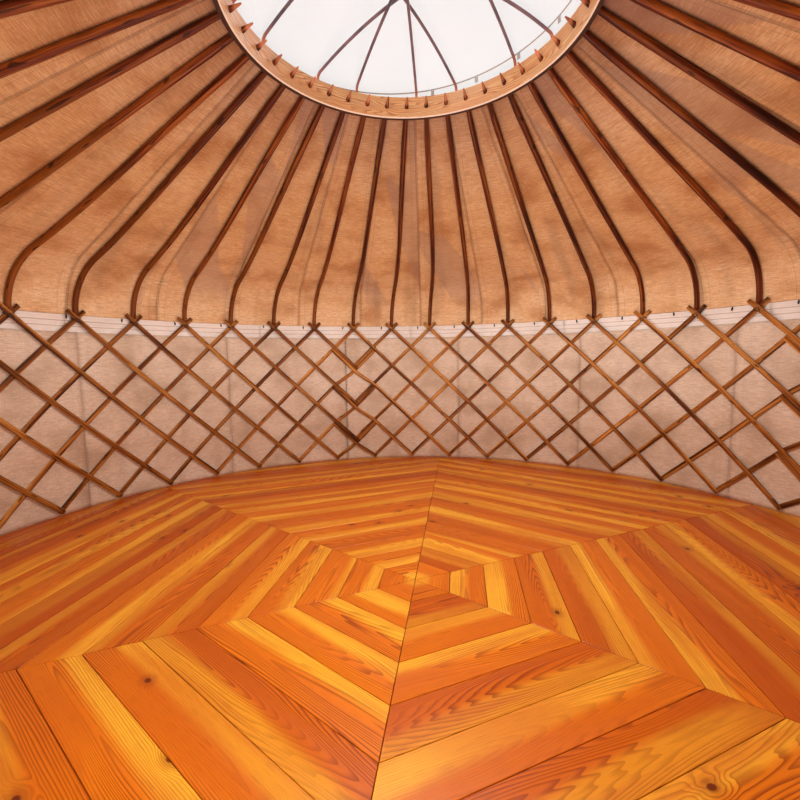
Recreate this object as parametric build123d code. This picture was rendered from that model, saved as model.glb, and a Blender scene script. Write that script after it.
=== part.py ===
from build123d import *
from math import acos, asin, atan, atan2, ceil, cos, degrees, floor, hypot, radians, sin, sqrt, tan
import os

# Main sizes in millimetres, heights counted from the floor top
pole_count = 41
lattice_radius = 2750
crossing_top = 1452
ring_inner_radius = 820
ring_pole_height = 2718
crown_turn = 3.24
fit_gap = 0.3

# Platform
floor_top = 120
board_thickness = 22
rim_thickness = 45
seam_beam_width = 90
joist_width = 45
joist_spacing = 480
floor_turn = 23.4
sector_gap = 2
floor_margin = 8

# Lattice
lath_width = 36
lath_thickness = 12
row_step = 202
lath_top_reach = 50
lath_end_reach = 30
side_gap = 0.6
row_count = 7
door_pitches = 3
door_end_reach = 20
first_section = 8.5
second_section = 9
third_section = 10

# Door frame
jamb_width = 80
frame_depth = 60
lintel_height = 70
threshold_height = 40

# Roof poles
pole_diameter = 38
bend_radius = 420
bend_start = 43
neck_diameter = 26
neck_length = 45
taper_length = 150
tip_reach = 60
tip_diameter = 10
pole_group_count = 5

# Crown
ring_thickness = 28
ring_below_pole = 67
ring_above_pole = 57
ring_bevel = 6
bow_diameter = 16
bow_rise = 150
bow_rise_step = 20
bow_foot_radius = 40
bow_foot_height = 8
bow_socket_depth = 25
# two rods a set, each from one pole gap of the ring to another, at a level that clears the rods it crosses
bow_sets = [
    [(-3, 17, 0), (0, 21, 1)],
    [(-8, 15, 2), (-5, 12, 2)],
    [(2, 26, 4), (5, 23, 4)],
    [(7, 31, 6), (10, 28, 6)],
]

# Canvas, linings and bands
liner_thickness = 2.4
cover_thickness = 3
wall_liner_top = 1352
roof_liner_bottom = 1480
wall_cover_top = 1478
wall_cover_drop = 70
roof_skirt_bottom = 1400
jamb_lap = 40
seam_gap = 0.4
wall_cover_count = 5
roof_cover_count = 6
band_width = 50
band_thickness = 3
lower_band_height = 430
upper_band_height = 1000
flap_roll_diameter = 76
flap_roll_overlap = 90
cap_rise = 330
cap_thickness = 3
cap_reach = 35
cap_lap = 115

# Values that follow
pitch = 360 / pole_count
floor_radius = lattice_radius + lath_thickness + floor_margin
pole_radius = pole_diameter / 2
neck_radius = neck_diameter / 2
half_step_width = lattice_radius * sin(radians(pitch / 2))
lath_slope = row_step / half_step_width
lath_half_height = lath_width / 2 / cos(atan(lath_slope))
foot_height = crossing_top + lath_half_height + fit_gap
bend_height = crossing_top + bend_start
wall_liner_inner = lattice_radius + lath_thickness + fit_gap
wall_cover_inner = floor_radius + fit_gap
wall_cover_outer = wall_cover_inner + cover_thickness
frame_inner = floor_radius - frame_depth
pole_shift = pole_count / 2 % 1
wall_end = (pole_count - door_pitches) / 2
jamb_outer_angle = pitch / 2 * (door_pitches - door_end_reach / row_step) - degrees(fit_gap / lattice_radius)
jamb_inner_angle = jamb_outer_angle - degrees(jamb_width / floor_radius)
lap_angle = jamb_outer_angle - degrees(jamb_lap / floor_radius)
roof_liner_offset = pole_radius + fit_gap
roof_cover_offset = wall_cover_outer + fit_gap - lattice_radius
ring_bottom = ring_pole_height - ring_below_pole
ring_top = ring_pole_height + ring_above_pole
ring_outer_radius = ring_inner_radius + ring_thickness
socket_radius = ring_inner_radius + ring_thickness / 2

os.makedirs("parts", exist_ok=True)


def at(angle, radius, height):
    # angle runs from +Y towards +X, height from the floor top
    a = radians(angle)
    return Vector(radius * sin(a), radius * cos(a), floor_top + height)


def turned(shape, angle):
    return Rot(0, 0, -angle) * shape


def revolved(outline, start, end):
    # a closed outline of radius and height turned from one angle to another
    face = Plane((0, 0, floor_top), x_dir=(1, 0, 0), z_dir=(0, -1, 0)) * make_face(outline)
    return revolve(Rot(0, 0, 90 - start) * face, axis=Axis.Z, revolution_arc=-(end - start))


def save(node, solids):
    export_step(Compound(children=list(solids)), f"parts/{node}.step")


# Platform

def wedge(half_angle, reach, height):
    side = reach / cos(radians(half_angle))
    x = side * sin(radians(half_angle))
    y = side * cos(radians(half_angle))
    return extrude(make_face(Polyline((0, 0), (x, y), (-x, y), close=True)), amount=height)


def floor_sectors():
    # six mitred fields of boards, parted by a thin seam
    board_height = floor_top - board_thickness
    shift = sector_gap / 2 / sin(radians(30))
    wedge_shape = Pos(0, shift, board_height) * wedge(30, floor_radius * 1.1, board_thickness)
    disc = Pos(0, 0, board_height) * extrude(Circle(floor_radius), amount=board_thickness)
    sector = disc & wedge_shape
    for number in range(6):
        save(f"floor_sector_{number + 1}", [turned(sector, 60 * number + 60 - floor_turn)])


def platform_frame():
    # rim, six seam beams under the mitres and joists across each field of boards
    height = floor_top - board_thickness
    disc = extrude(Circle(floor_radius), amount=height)
    inside = extrude(Circle(floor_radius - rim_thickness), amount=height)
    rim = disc - inside
    reach = floor_radius - rim_thickness / 2
    bars = []
    for number in range(6):
        sector_angle = 60 * number + 60 - floor_turn
        seam = Pos(0, reach / 2, height / 2) * Box(seam_beam_width, reach, height)
        bars.append(turned(seam, sector_angle + 30))
        count = floor(floor_radius * sin(radians(30)) / joist_spacing)
        for step in range(-count, count + 1):
            x = step * joist_spacing
            start = abs(x) / tan(radians(30))
            end = sqrt(reach ** 2 - x ** 2)
            joist = Pos(x, (start + end) / 2, height / 2) * Box(joist_width, end - start, height)
            bars.append(turned(joist, sector_angle))
    return rim.fuse(*bars)


# Lattice

def lath_point(column, radius, height):
    # the wall is flat between one pole line and the next
    left = floor(column - pole_shift) + pole_shift
    share = column - left
    start = at(left * pitch, radius, height)
    end = at((left + 1) * pitch, radius, height)
    return start * (1 - share) + end * share


def lath(stations, inner, outer):
    # a bar of rectangular section through stations of (column, height)
    sections = []
    for column, height in stations:
        low = height - lath_half_height
        high = height + lath_half_height
        corners = [
            lath_point(column, inner, low),
            lath_point(column, outer, low),
            lath_point(column, outer, high),
            lath_point(column, inner, high),
        ]
        sections.append(Face(Wire.make_polygon(corners, close=True)))
    return loft(sections, ruled=True)


def row_height(row):
    return crossing_top - row * row_step


def end_reach(column):
    at_door = wall_end - abs(column) < 0.01
    return (door_end_reach if at_door else lath_end_reach) / row_step


def lath_stations(top_column, way, first, last, doubled):
    # way is +1 for laths that go down to the right seen from inside, first and last are rows
    reach = end_reach(top_column + way * first / 2)
    start = first - (lath_top_reach / row_step if first == 0 else reach)
    lowest = (row_height(row_count) - lath_half_height) / row_step
    end = last + (lowest if last == row_count else end_reach(top_column + way * last / 2))
    shift = 2 * lath_half_height + side_gap
    rows = [start]
    rows += [row for row in range(ceil(start), floor(end) + 1) if row % 2 == 0]
    rows.append(end)
    if doubled:
        rows += [first + 1 + reach, first + 2]
    stations = []
    for row in sorted(set(rows)):
        drop = 0
        if doubled and row < first + 2:
            drop = shift
        stations.append((top_column + way * row / 2, row_height(row) - drop))
    return stations


def lattice_section(low, high, low_joint, high_joint):
    laths = []
    plans = [
        (1, low - 0.5 if low_joint else low, high, lattice_radius - lath_thickness, lattice_radius),
        (-1, low, high + 0.5 if high_joint else high, lattice_radius, lattice_radius + lath_thickness),
    ]
    for way, left, right, inner, outer in plans:
        near = left if way == 1 else right
        joined = low_joint if way == 1 else high_joint
        spread = ceil(row_count / 2) + 1
        for step in range(int(high - low) + 2 * spread + 2):
            top_column = floor(low) - spread + step + pole_shift
            rows = [r for r in range(row_count + 1) if left <= top_column + way * r / 2 <= right]
            if len(rows) < 2:
                continue
            first, last = rows[0], rows[-1]
            doubled = joined and first > 0 and abs(top_column + way * first / 2 - near) < 0.01
            laths.append(lath(lath_stations(top_column, way, first, last, doubled), inner, outer))
    return laths[0].fuse(*laths[1:])


# Door frame

def arc_block(inner, outer, start, end, bottom, top):
    corners = [(inner, bottom), (outer, bottom), (outer, top), (inner, top)]
    return revolved(Polyline(*corners, close=True), start, end)


def door_frame():
    lintel_top = foot_height - fit_gap
    lintel_bottom = lintel_top - lintel_height
    save("door_lintel", [
        arc_block(frame_inner, floor_radius, 180 - jamb_outer_angle, 180 + jamb_outer_angle,
                  lintel_bottom, lintel_top)])
    save("door_threshold", [
        arc_block(frame_inner, floor_radius, 180 - jamb_inner_angle, 180 + jamb_inner_angle,
                  0, threshold_height)])
    save("door_jamb_left", [
        arc_block(frame_inner, floor_radius, 180 + jamb_inner_angle, 180 + jamb_outer_angle,
                  0, lintel_bottom)])
    save("door_jamb_right", [
        arc_block(frame_inner, floor_radius, 180 - jamb_outer_angle, 180 - jamb_inner_angle,
                  0, lintel_bottom)])


def door_flap():
    # the door cloth rolled up under the roof skirt
    roll_radius = flap_roll_diameter / 2
    half_angle = jamb_outer_angle + degrees(flap_roll_overlap / floor_radius) / 2
    centre = (wall_cover_outer + fit_gap + roll_radius, roof_skirt_bottom - fit_gap - roll_radius)
    return revolved(CenterArc(centre, roll_radius, 0, 360), 180 - half_angle, 180 + half_angle)


# Roof poles

crown_point = Vector(ring_inner_radius * sin(radians(crown_turn)),
                     ring_inner_radius * cos(radians(crown_turn)), 0)
foot_point = Vector(0, lattice_radius, 0)
pole_run = (crown_point - foot_point).length
run_left = pole_run - bend_radius
rise_left = ring_pole_height - bend_height
bend_turn = acos(-bend_radius / hypot(run_left, rise_left)) - atan2(rise_left, run_left)
bend_run = bend_radius * (1 - cos(bend_turn))
bend_end_height = bend_height + bend_radius * sin(bend_turn)
straight_length = hypot(pole_run - bend_run, ring_pole_height - bend_end_height)


def pole_plane():
    inward = (crown_point - foot_point).normalized()
    return Plane(origin=(0, lattice_radius, floor_top), x_dir=inward, z_dir=inward.cross(Vector(0, 0, 1)))


def tip_shape(extra):
    # the straight part of a pole about its own axis, grown by extra
    neck_start = straight_length - neck_length
    points = [
        (0, 0),
        (0, pole_radius + extra),
        (neck_start - taper_length, pole_radius + extra),
        (neck_start, neck_radius + extra),
        (straight_length, neck_radius + extra),
        (straight_length + tip_reach, tip_diameter / 2 + extra),
        (straight_length + tip_reach, 0),
    ]
    way = Vector(sin(bend_turn), cos(bend_turn), 0)
    axis_plane = Plane(origin=(bend_run, bend_end_height, 0), x_dir=way, z_dir=(0, 0, 1))
    profile = axis_plane * make_face(Polyline(*points, close=True))
    return revolve(profile, axis=Axis((bend_run, bend_end_height, 0), way))


def roof_pole(notched):
    path = Line((0, foot_height), (0, bend_height))
    path += CenterArc((bend_radius, bend_height), bend_radius, 180, -degrees(bend_turn))
    section = Plane(origin=(0, foot_height, 0), z_dir=(0, 1, 0)) * Circle(pole_radius)
    pole = pole_plane() * (sweep(section, path=path) + tip_shape(0))
    if notched:
        side = 2 * pole_radius
        low = floor_top + foot_height
        notch = make_face(Polyline((0, low), (side, low + side * lath_slope), (side, low - side),
                                   (-side, low - side), (-side, low + side * lath_slope), close=True))
        pole -= extrude(Plane(origin=(0, lattice_radius, 0), x_dir=(1, 0, 0), z_dir=(0, -1, 0)) * notch,
                        amount=side, both=True)
    return pole


def roof_poles():
    # the poles over the door stand on the lintel, the others in the forks of the lattice
    notched = roof_pole(True)
    plain = roof_pole(False)
    first = -(pole_count // pole_group_count // 2)
    groups = [[] for _ in range(pole_group_count)]
    for number in range(pole_count):
        place = first + number
        over_door = abs(place) * pitch < jamb_outer_angle
        group = number * pole_group_count // pole_count
        groups[group].append(turned(plain if over_door else notched, 180 + place * pitch))
    for number, poles in enumerate(groups):
        save(f"roof_poles_{number + 1}", poles)


# Crown

def bow(first, last, level):
    # a rod that stands up out of its sockets in the ring's top and bends over the opening
    half_angle = radians((last - first) * pitch / 2)
    half_span = socket_radius * sin(half_angle)
    side = socket_radius * cos(half_angle)
    rise = bow_rise + bow_rise_step * level
    slope = 2 * atan((rise - bow_foot_radius) / (half_span - bow_foot_radius))
    arc_radius = (half_span - bow_foot_radius * (1 - sin(slope))) / sin(slope)
    foot = ring_top - bow_socket_depth
    base = ring_top + bow_foot_height
    centre = base + rise - arc_radius
    foot_turn = 90 - degrees(slope)
    path = Line((-half_span, foot), (-half_span, base))
    path += CenterArc((bow_foot_radius - half_span, base), bow_foot_radius, 180, -foot_turn)
    path += CenterArc((0, centre), arc_radius, 90 + degrees(slope), -2 * degrees(slope))
    path += CenterArc((half_span - bow_foot_radius, base), bow_foot_radius, foot_turn, -foot_turn)
    path += Line((half_span, base), (half_span, foot))
    section = Plane(origin=(-half_span, foot, 0), z_dir=(0, 1, 0)) * Circle(bow_diameter / 2)
    upright = Plane(origin=(side, 0, floor_top), x_dir=(0, 1, 0), z_dir=(1, 0, 0))
    return turned(upright * sweep(section, path=path), crown_turn + (first + last) * pitch / 2 - 90)


def crown_bows():
    for number, rods in enumerate(bow_sets):
        save(f"crown_bows_{number + 1}", [bow(first, last, level) for first, last, level in rods])


def crown_ring():
    outline = [
        (ring_inner_radius, ring_bottom + ring_bevel),
        (ring_inner_radius + ring_bevel, ring_bottom),
        (ring_outer_radius, ring_bottom),
        (ring_outer_radius, ring_top),
        (ring_inner_radius, ring_top),
    ]
    ring = revolved(Polyline(*outline, close=True), 0, 360)
    hole = pole_plane() * tip_shape(fit_gap)
    holes = []
    for number in range(pole_count):
        holes.append(turned(hole, 180 + number * pitch))
    socket = Pos(0, 0, floor_top + ring_top - bow_socket_depth - fit_gap) * extrude(
        Circle(bow_diameter / 2 + fit_gap), amount=2 * bow_socket_depth)
    for first, last, level in sum(bow_sets, []):
        for foot in (first, last):
            holes.append(turned(Pos(0, socket_radius, 0) * socket, crown_turn + foot * pitch))
    return ring.cut(*holes)


# Canvas

def roof_edge(offset, radius):
    # height of the roof surface moved outwards by an offset, at a radius on the straight part
    skew = asin(crown_point.X / pole_run)
    run = lattice_radius * cos(skew) - sqrt(radius ** 2 - (lattice_radius * sin(skew)) ** 2)
    return bend_end_height + (run - bend_run) / tan(bend_turn) + offset / sin(bend_turn)


def roof_line(offset, bottom, end_radius):
    # the pole's line moved outwards by an offset, from its lower edge to the ring
    start = asin(max(0, bottom - bend_height) / (bend_radius + offset))
    centre = (lattice_radius - bend_radius, bend_height)
    line = CenterArc(centre, bend_radius + offset, degrees(start), degrees(bend_turn - start))
    line += Line(line @ 1, (end_radius, roof_edge(offset, end_radius)))
    if bottom < bend_height:
        line += Line((lattice_radius + offset, bottom), (lattice_radius + offset, bend_height))
    return line


def roof_skin(offset, thickness, bottom, end_radius, start, end):
    low = roof_line(offset, bottom, end_radius)
    high = roof_line(offset + thickness, bottom, end_radius)
    edges = low.edges() + high.edges()
    points = [e @ 0 for e in edges] + [e @ 1 for e in edges]
    feet = sorted((p for p in points if abs(p.Y - bottom) < 0.01), key=lambda p: p.X)
    tops = sorted((p for p in points if abs(p.X - end_radius) < 0.01), key=lambda p: p.Y)
    edges += [Line(feet[0], feet[-1]).edge(), Line(tops[0], tops[-1]).edge()]
    return revolved(edges, start, end)


def wall_skin(inner, thickness, bottom, top, start, end):
    return arc_block(inner, inner + thickness, start, end, bottom, top)


def canvas():
    start = -180 + lap_angle
    share = (360 - 2 * lap_angle) / wall_cover_count
    half_gap = degrees(seam_gap / 2 / lattice_radius)
    for number in range(wall_cover_count):
        low = start + share * number + half_gap
        high = start + share * (number + 1) - half_gap
        save(f"wall_cover_{number + 1}", [
            wall_skin(wall_cover_inner, cover_thickness, -wall_cover_drop, wall_cover_top, low, high)])
    save("wall_liner", [
        wall_skin(wall_liner_inner, liner_thickness, fit_gap, wall_liner_top,
                  -180 + jamb_outer_angle + half_gap, 180 - jamb_outer_angle - half_gap)])
    save("roof_liner", [
        roof_skin(roof_liner_offset, liner_thickness, roof_liner_bottom, ring_outer_radius + 2, 0, 360)])
    share = 360 / roof_cover_count
    for number in range(roof_cover_count):
        low = share * number + share / 2
        save(f"roof_cover_{number + 1}", [
            roof_skin(roof_cover_offset, cover_thickness, roof_skirt_bottom, ring_outer_radius + fit_gap,
                      low + half_gap, low + share - half_gap)])


def bands():
    inner = wall_cover_outer + fit_gap
    for name, height in (("lower_band", lower_band_height), ("upper_band", upper_band_height)):
        save(name, [wall_skin(inner, band_thickness, height - band_width / 2, height + band_width / 2,
                              -180 + lap_angle, 180 - lap_angle)])


def crown_cap():
    # clear dome over the bows with a skirt that rests on the roof cloth
    base = ring_outer_radius + cap_reach
    low = (base, ring_top + cap_reach / 4)
    arc_radius = (base ** 2 + cap_rise ** 2) / (2 * cap_rise)
    centre = (0, low[1] + cap_rise - arc_radius)
    half_turn = degrees(asin(base / arc_radius))
    edge = base + cap_lap
    cloth = roof_edge(roof_cover_offset + cover_thickness, edge) + fit_gap
    inner = CenterArc(centre, arc_radius, 90 - half_turn, half_turn)
    outer = CenterArc(centre, arc_radius + cap_thickness, 90 - half_turn, half_turn)
    hem = [inner @ 0, (edge, cloth), (edge, cloth + cap_thickness / sin(bend_turn)), outer @ 0]
    edges = inner.edges() + outer.edges() + Polyline(*hem).edges() + Line(inner @ 1, outer @ 1).edges()
    return revolved(edges, 0, 360)


floor_sectors()
save("platform_frame", [platform_frame()])
ends = [-wall_end, -wall_end + first_section]
ends += [ends[1] + second_section, ends[1] + second_section + third_section, wall_end]
for number in range(4):
    section = lattice_section(ends[number], ends[number + 1], number > 0, number < 3)
    save(f"lattice_section_{number + 1}", [section])
door_frame()
save("door_flap", [door_flap()])
roof_poles()
save("crown_ring", [crown_ring()])
crown_bows()
canvas()
bands()
save("crown_cap", [crown_cap()])
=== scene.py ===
import math

import bmesh
import bpy
import numpy as np
from mathutils import Matrix, Vector


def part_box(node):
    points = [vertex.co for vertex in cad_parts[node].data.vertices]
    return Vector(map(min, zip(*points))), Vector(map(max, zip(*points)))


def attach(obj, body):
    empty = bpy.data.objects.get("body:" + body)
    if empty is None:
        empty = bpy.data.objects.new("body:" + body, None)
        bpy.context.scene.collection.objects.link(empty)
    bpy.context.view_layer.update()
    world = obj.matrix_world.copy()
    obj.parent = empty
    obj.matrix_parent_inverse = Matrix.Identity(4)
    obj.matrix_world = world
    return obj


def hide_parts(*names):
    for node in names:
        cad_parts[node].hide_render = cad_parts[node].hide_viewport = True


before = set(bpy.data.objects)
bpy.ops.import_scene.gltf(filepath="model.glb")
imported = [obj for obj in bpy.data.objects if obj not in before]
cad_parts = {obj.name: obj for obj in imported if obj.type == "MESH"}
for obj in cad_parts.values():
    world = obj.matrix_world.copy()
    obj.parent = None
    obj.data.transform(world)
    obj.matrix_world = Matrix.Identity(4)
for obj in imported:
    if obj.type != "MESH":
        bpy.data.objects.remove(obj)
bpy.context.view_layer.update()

sin, cos, pi, radians = math.sin, math.cos, math.pi, math.radians
rng = np.random.default_rng(41)

house = {
    "poles": 41,
    "latticeRadius": 2.75,
    "floorRadius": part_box("platform_frame")[1].x,
    "floorTop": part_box("floor_sector_1")[1].z,
    "ringInner": 0.82,
    "ringOuter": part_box("crown_ring")[1].x,
    "ringTop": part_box("crown_ring")[1].z,
    "crossingTop": 1.452,      # heights from here on are counted from the floor
    "rowStep": 0.202,
    "rows": 7,
    "bendRadius": 0.42,
    "bendStart": 1.495,
    "holeHeight": 2.718,
    "crownTurn": radians(3.24),
}
pitch = 2 * pi / house["poles"]
floorTop = house["floorTop"]
wallRadius = house["latticeRadius"]

# the pole's line: up from the wall, round the bend, then straight to the ring
crownPoint = np.array([house["ringInner"] * sin(house["crownTurn"]), house["ringInner"] * cos(house["crownTurn"])])
footPoint = np.array([0.0, wallRadius])
poleRun = float(np.linalg.norm(crownPoint - footPoint))
runLeft = poleRun - house["bendRadius"]
riseLeft = house["holeHeight"] - house["bendStart"]
bendTurn = math.acos(-house["bendRadius"] / math.hypot(runLeft, riseLeft)) - math.atan2(riseLeft, runLeft)
bendRun = house["bendRadius"] * (1 - cos(bendTurn))
bendEnd = house["bendStart"] + house["bendRadius"] * sin(bendTurn)
skew = math.asin(crownPoint[0] / poleRun)


def runTo(radius):
    # distance along the pole's plan line at which it reaches a radius
    return wallRadius * cos(skew) - np.sqrt(radius ** 2 - (wallRadius * sin(skew)) ** 2)


def turnAt(radius):
    # how far a pole has turned round the house where it reaches a radius
    run = runTo(radius)
    x = run * crownPoint[0] / poleRun
    y = wallRadius - run * (wallRadius - crownPoint[1]) / poleRun
    return np.arctan2(x, y)


def roofProfile(offset, bottom, endRadius, spacing):
    # radius and height of a skin that lies an offset outside the poles, finer near the eave
    points = []
    reach = house["bendRadius"] + offset
    start = 0.0
    if bottom < house["bendStart"]:
        for h in np.arange(bottom, house["bendStart"], spacing[0]):
            points.append((wallRadius + offset, h))
    else:
        start = math.asin((bottom - house["bendStart"]) / reach)
    for turn in np.linspace(start, bendTurn, max(3, int(reach * (bendTurn - start) / spacing[0]))):
        points.append((wallRadius - house["bendRadius"] + reach * cos(turn), house["bendStart"] + reach * sin(turn)))
    endHeight = bendEnd + (runTo(endRadius) - bendRun) / math.tan(bendTurn) + offset / sin(bendTurn)
    r0, h0 = points[-1]
    steps = max(2, int(math.hypot(endRadius - r0, endHeight - h0) / spacing[1]))
    for share in np.linspace(0, 1, steps + 1)[1:]:
        points.append((r0 + (endRadius - r0) * share, h0 + (endHeight - h0) * share))
    return np.array(points)


# smooth noise for shaping cloth and timber, the same on every run

def smoothNoise(x, y, seed=0):
    x, y = np.asarray(x, float), np.asarray(y, float)
    xi, yi = np.floor(x).astype(np.int64), np.floor(y).astype(np.int64)
    xf, yf = x - xi, y - yi
    xf, yf = xf * xf * (3 - 2 * xf), yf * yf * (3 - 2 * yf)

    def corner(i, j):
        n = (i * 374761393 + j * 668265263 + seed * 974711) & 0x7FFFFFFF
        n = ((n ^ (n >> 13)) * 1274126177) & 0x7FFFFFFF
        return ((n ^ (n >> 16)) & 0xFFFF) / 32767.5 - 1
    top = corner(xi, yi) * (1 - xf) + corner(xi + 1, yi) * xf
    low = corner(xi, yi + 1) * (1 - xf) + corner(xi + 1, yi + 1) * xf
    return top * (1 - yf) + low * yf


# materials

def rgb(r, g, b):
    # a colour as seen on screen, 0 to 255
    def line(c):
        c /= 255
        return c / 12.92 if c <= 0.04045 else ((c + 0.055) / 1.055) ** 2.4
    return (line(r), line(g), line(b), 1.0)


class Shader:
    def __init__(self, name, roughness=0.6, **sockets):
        self.material = bpy.data.materials.new(name)
        self.material.use_nodes = True
        self.tree = self.material.node_tree
        self.surface = self.tree.nodes["Principled BSDF"]
        self.surface.inputs["Roughness"].default_value = roughness
        for key, value in sockets.items():
            self.surface.inputs[key.replace("_", " ")].default_value = value

    def put(self, value, socket):
        if isinstance(value, bpy.types.NodeSocket):
            self.tree.links.new(value, socket)
        else:
            socket.default_value = value

    def node(self, kind, inputs=(), **settings):
        made = self.tree.nodes.new(kind)
        for key, value in settings.items():
            setattr(made, key, value)
        for key, value in dict(inputs).items():
            self.put(value, made.inputs[key])
        return made

    def attribute(self, name, output="Vector"):
        return self.node("ShaderNodeAttribute", attribute_name=name).outputs[output]

    def place(self):
        return self.node("ShaderNodeTexCoord").outputs["Object"]

    def split(self, vector):
        return self.node("ShaderNodeSeparateXYZ", {0: vector}).outputs

    def join(self, x, y, z):
        return self.node("ShaderNodeCombineXYZ", {0: x, 1: y, 2: z}).outputs[0]

    def math(self, operation, a, b=0.0, c=0.0, clamp=False):
        return self.node("ShaderNodeMath", {0: a, 1: b, 2: c}, operation=operation, use_clamp=clamp).outputs[0]

    def times(self, a, b):
        return self.math("MULTIPLY", a, b)

    def plus(self, a, b):
        return self.math("ADD", a, b)

    def scaled(self, vector, scale):
        return self.node("ShaderNodeMapping", {"Vector": vector, "Scale": scale}).outputs[0]

    def noise(self, vector, scale=(1, 1, 1), detail=1.0, roughness=0.5, distortion=0.0, flat=True):
        # flat noise reads x and y only and is quicker to render
        made = self.node("ShaderNodeTexNoise", {"Vector": self.scaled(vector, scale), "Scale": 1.0, "Detail": detail,
                                                "Roughness": roughness, "Distortion": distortion},
                         noise_dimensions="2D" if flat else "3D")
        return made.outputs["Fac"]

    def cells(self, vector, scale):
        made = self.node("ShaderNodeTexVoronoi", {"Vector": self.scaled(vector, scale), "Scale": 1.0},
                         voronoi_dimensions="2D")
        return made.outputs["Distance"]

    def ramp(self, fac, *stops):
        made = self.node("ShaderNodeValToRGB", {"Fac": fac})
        band = made.color_ramp
        while len(band.elements) < len(stops):
            band.elements.new(0.5)
        for element, (place, colour) in zip(band.elements, stops):
            element.position = place
            element.color = colour
        return made.outputs["Color"]

    def step(self, value, low, high, outLow=0.0, outHigh=1.0):
        made = self.node("ShaderNodeMapRange", {"Value": value, "From Min": low, "From Max": high,
                                                "To Min": outLow, "To Max": outHigh}, interpolation_type="SMOOTHSTEP")
        return made.outputs["Result"]

    def mix(self, fac, a, b, blend="MIX"):
        made = self.node("ShaderNodeMix", {"Factor": fac}, data_type="RGBA", blend_type=blend)
        self.put(a, made.inputs[6])
        self.put(b, made.inputs[7])
        return made.outputs[2]

    def tint(self, colour, other, value, low, high, amount=1.0):
        # goes over to the other colour, as far as the amount, while the value goes from low to high
        return self.mix(self.step(value, low, high, 0.0, amount), colour, other)

    def bump(self, height, strength, distance):
        made = self.node("ShaderNodeBump", {"Height": height, "Strength": strength, "Distance": distance})
        return made.outputs["Normal"]

    def finish(self, colour, normal, roughness=None):
        self.put(colour, self.surface.inputs["Base Color"])
        self.put(normal, self.surface.inputs["Normal"])
        if roughness is not None:
            self.put(roughness, self.surface.inputs["Roughness"])
        return self.material


def pineBoards():
    look = {
        "sap": rgb(255, 190, 58), "heart": rgb(232, 130, 18), "ring": rgb(146, 56, 4),
        "knot": rgb(66, 24, 6), "ringWidth": 0.0072,
    }
    s = Shader("boardPine", 0.34, Specular_IOR_Level=0.36)
    grain = s.attribute("grain")
    x, y, board = s.split(grain)
    # the boards are cut off centre, so the year rings open into long arches
    drift = s.noise(s.join(x, s.times(board, 3.7), board), (0.42, 1, 1), 1.0)
    wander = s.noise(grain, (1.1, 8, 1), 1.0)
    depth = s.times(s.math("SUBTRACT", drift, 0.42), 0.34)
    across = s.plus(y, s.times(s.math("SUBTRACT", wander, 0.5), 0.05))
    knots = s.cells(grain, (1.0, 1.5, 1))
    push = s.step(knots, 0.0, 0.090, 0.026, 0.0)
    length = s.node("ShaderNodeVectorMath", {0: s.join(across, depth, 0.0)}, operation="LENGTH").outputs["Value"]
    rings = s.plus(s.math("DIVIDE", s.plus(length, push), look["ringWidth"]),
                   s.times(s.noise(grain, (0.5, 24, 1), 1.0), 3.2))
    phase = s.math("FRACT", rings)
    late = s.times(s.step(phase, 0.35, 0.93), s.step(phase, 1.0, 0.94))
    broad = s.noise(grain, (0.8, 5, 1), 1.0)
    fade = s.step(broad, 0.35, 0.62, 0.25, 1.0)
    sapwood = s.step(s.plus(y, s.times(s.noise(grain, (0.5, 1, 1), 0.0), 0.12)), 0.055, 0.10)
    base = s.mix(sapwood, look["heart"], look["sap"])
    patches = s.noise(grain, (1.2, 14, 1), 2.0)
    base = s.tint(base, rgb(216, 110, 10), patches, 0.35, 0.75, 0.5)
    base = s.tint(base, rgb(200, 94, 8), broad, 0.48, 0.36, 0.35)
    strong = s.times(fade, s.mix(sapwood, (0.85, 0.85, 0.85, 1), (0.5, 0.5, 0.5, 1)))
    colour = s.mix(s.times(late, strong), base, look["ring"])
    colour = s.tint(colour, look["knot"], knots, 0.018, 0.011)
    colour = s.tint(colour, rgb(150, 60, 6), knots, 0.060, 0.015, 0.45)
    pores = s.noise(grain, (14, 900, 1), 0.0)
    colour = s.tint(colour, rgb(140, 58, 4), pores, 0.55, 0.75, 0.22)
    tone = s.ramp(s.attribute("tone", "Fac"), (0.0, rgb(216, 180, 146)), (0.5, rgb(240, 226, 208)),
                  (1.0, rgb(255, 252, 240)))
    colour = s.mix(1.0, colour, tone, "MULTIPLY")
    rough = s.step(patches, 0.2, 0.8, 0.30, 0.46)
    return s.finish(colour, s.bump(pores, 0.20, 0.0006), rough)


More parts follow.
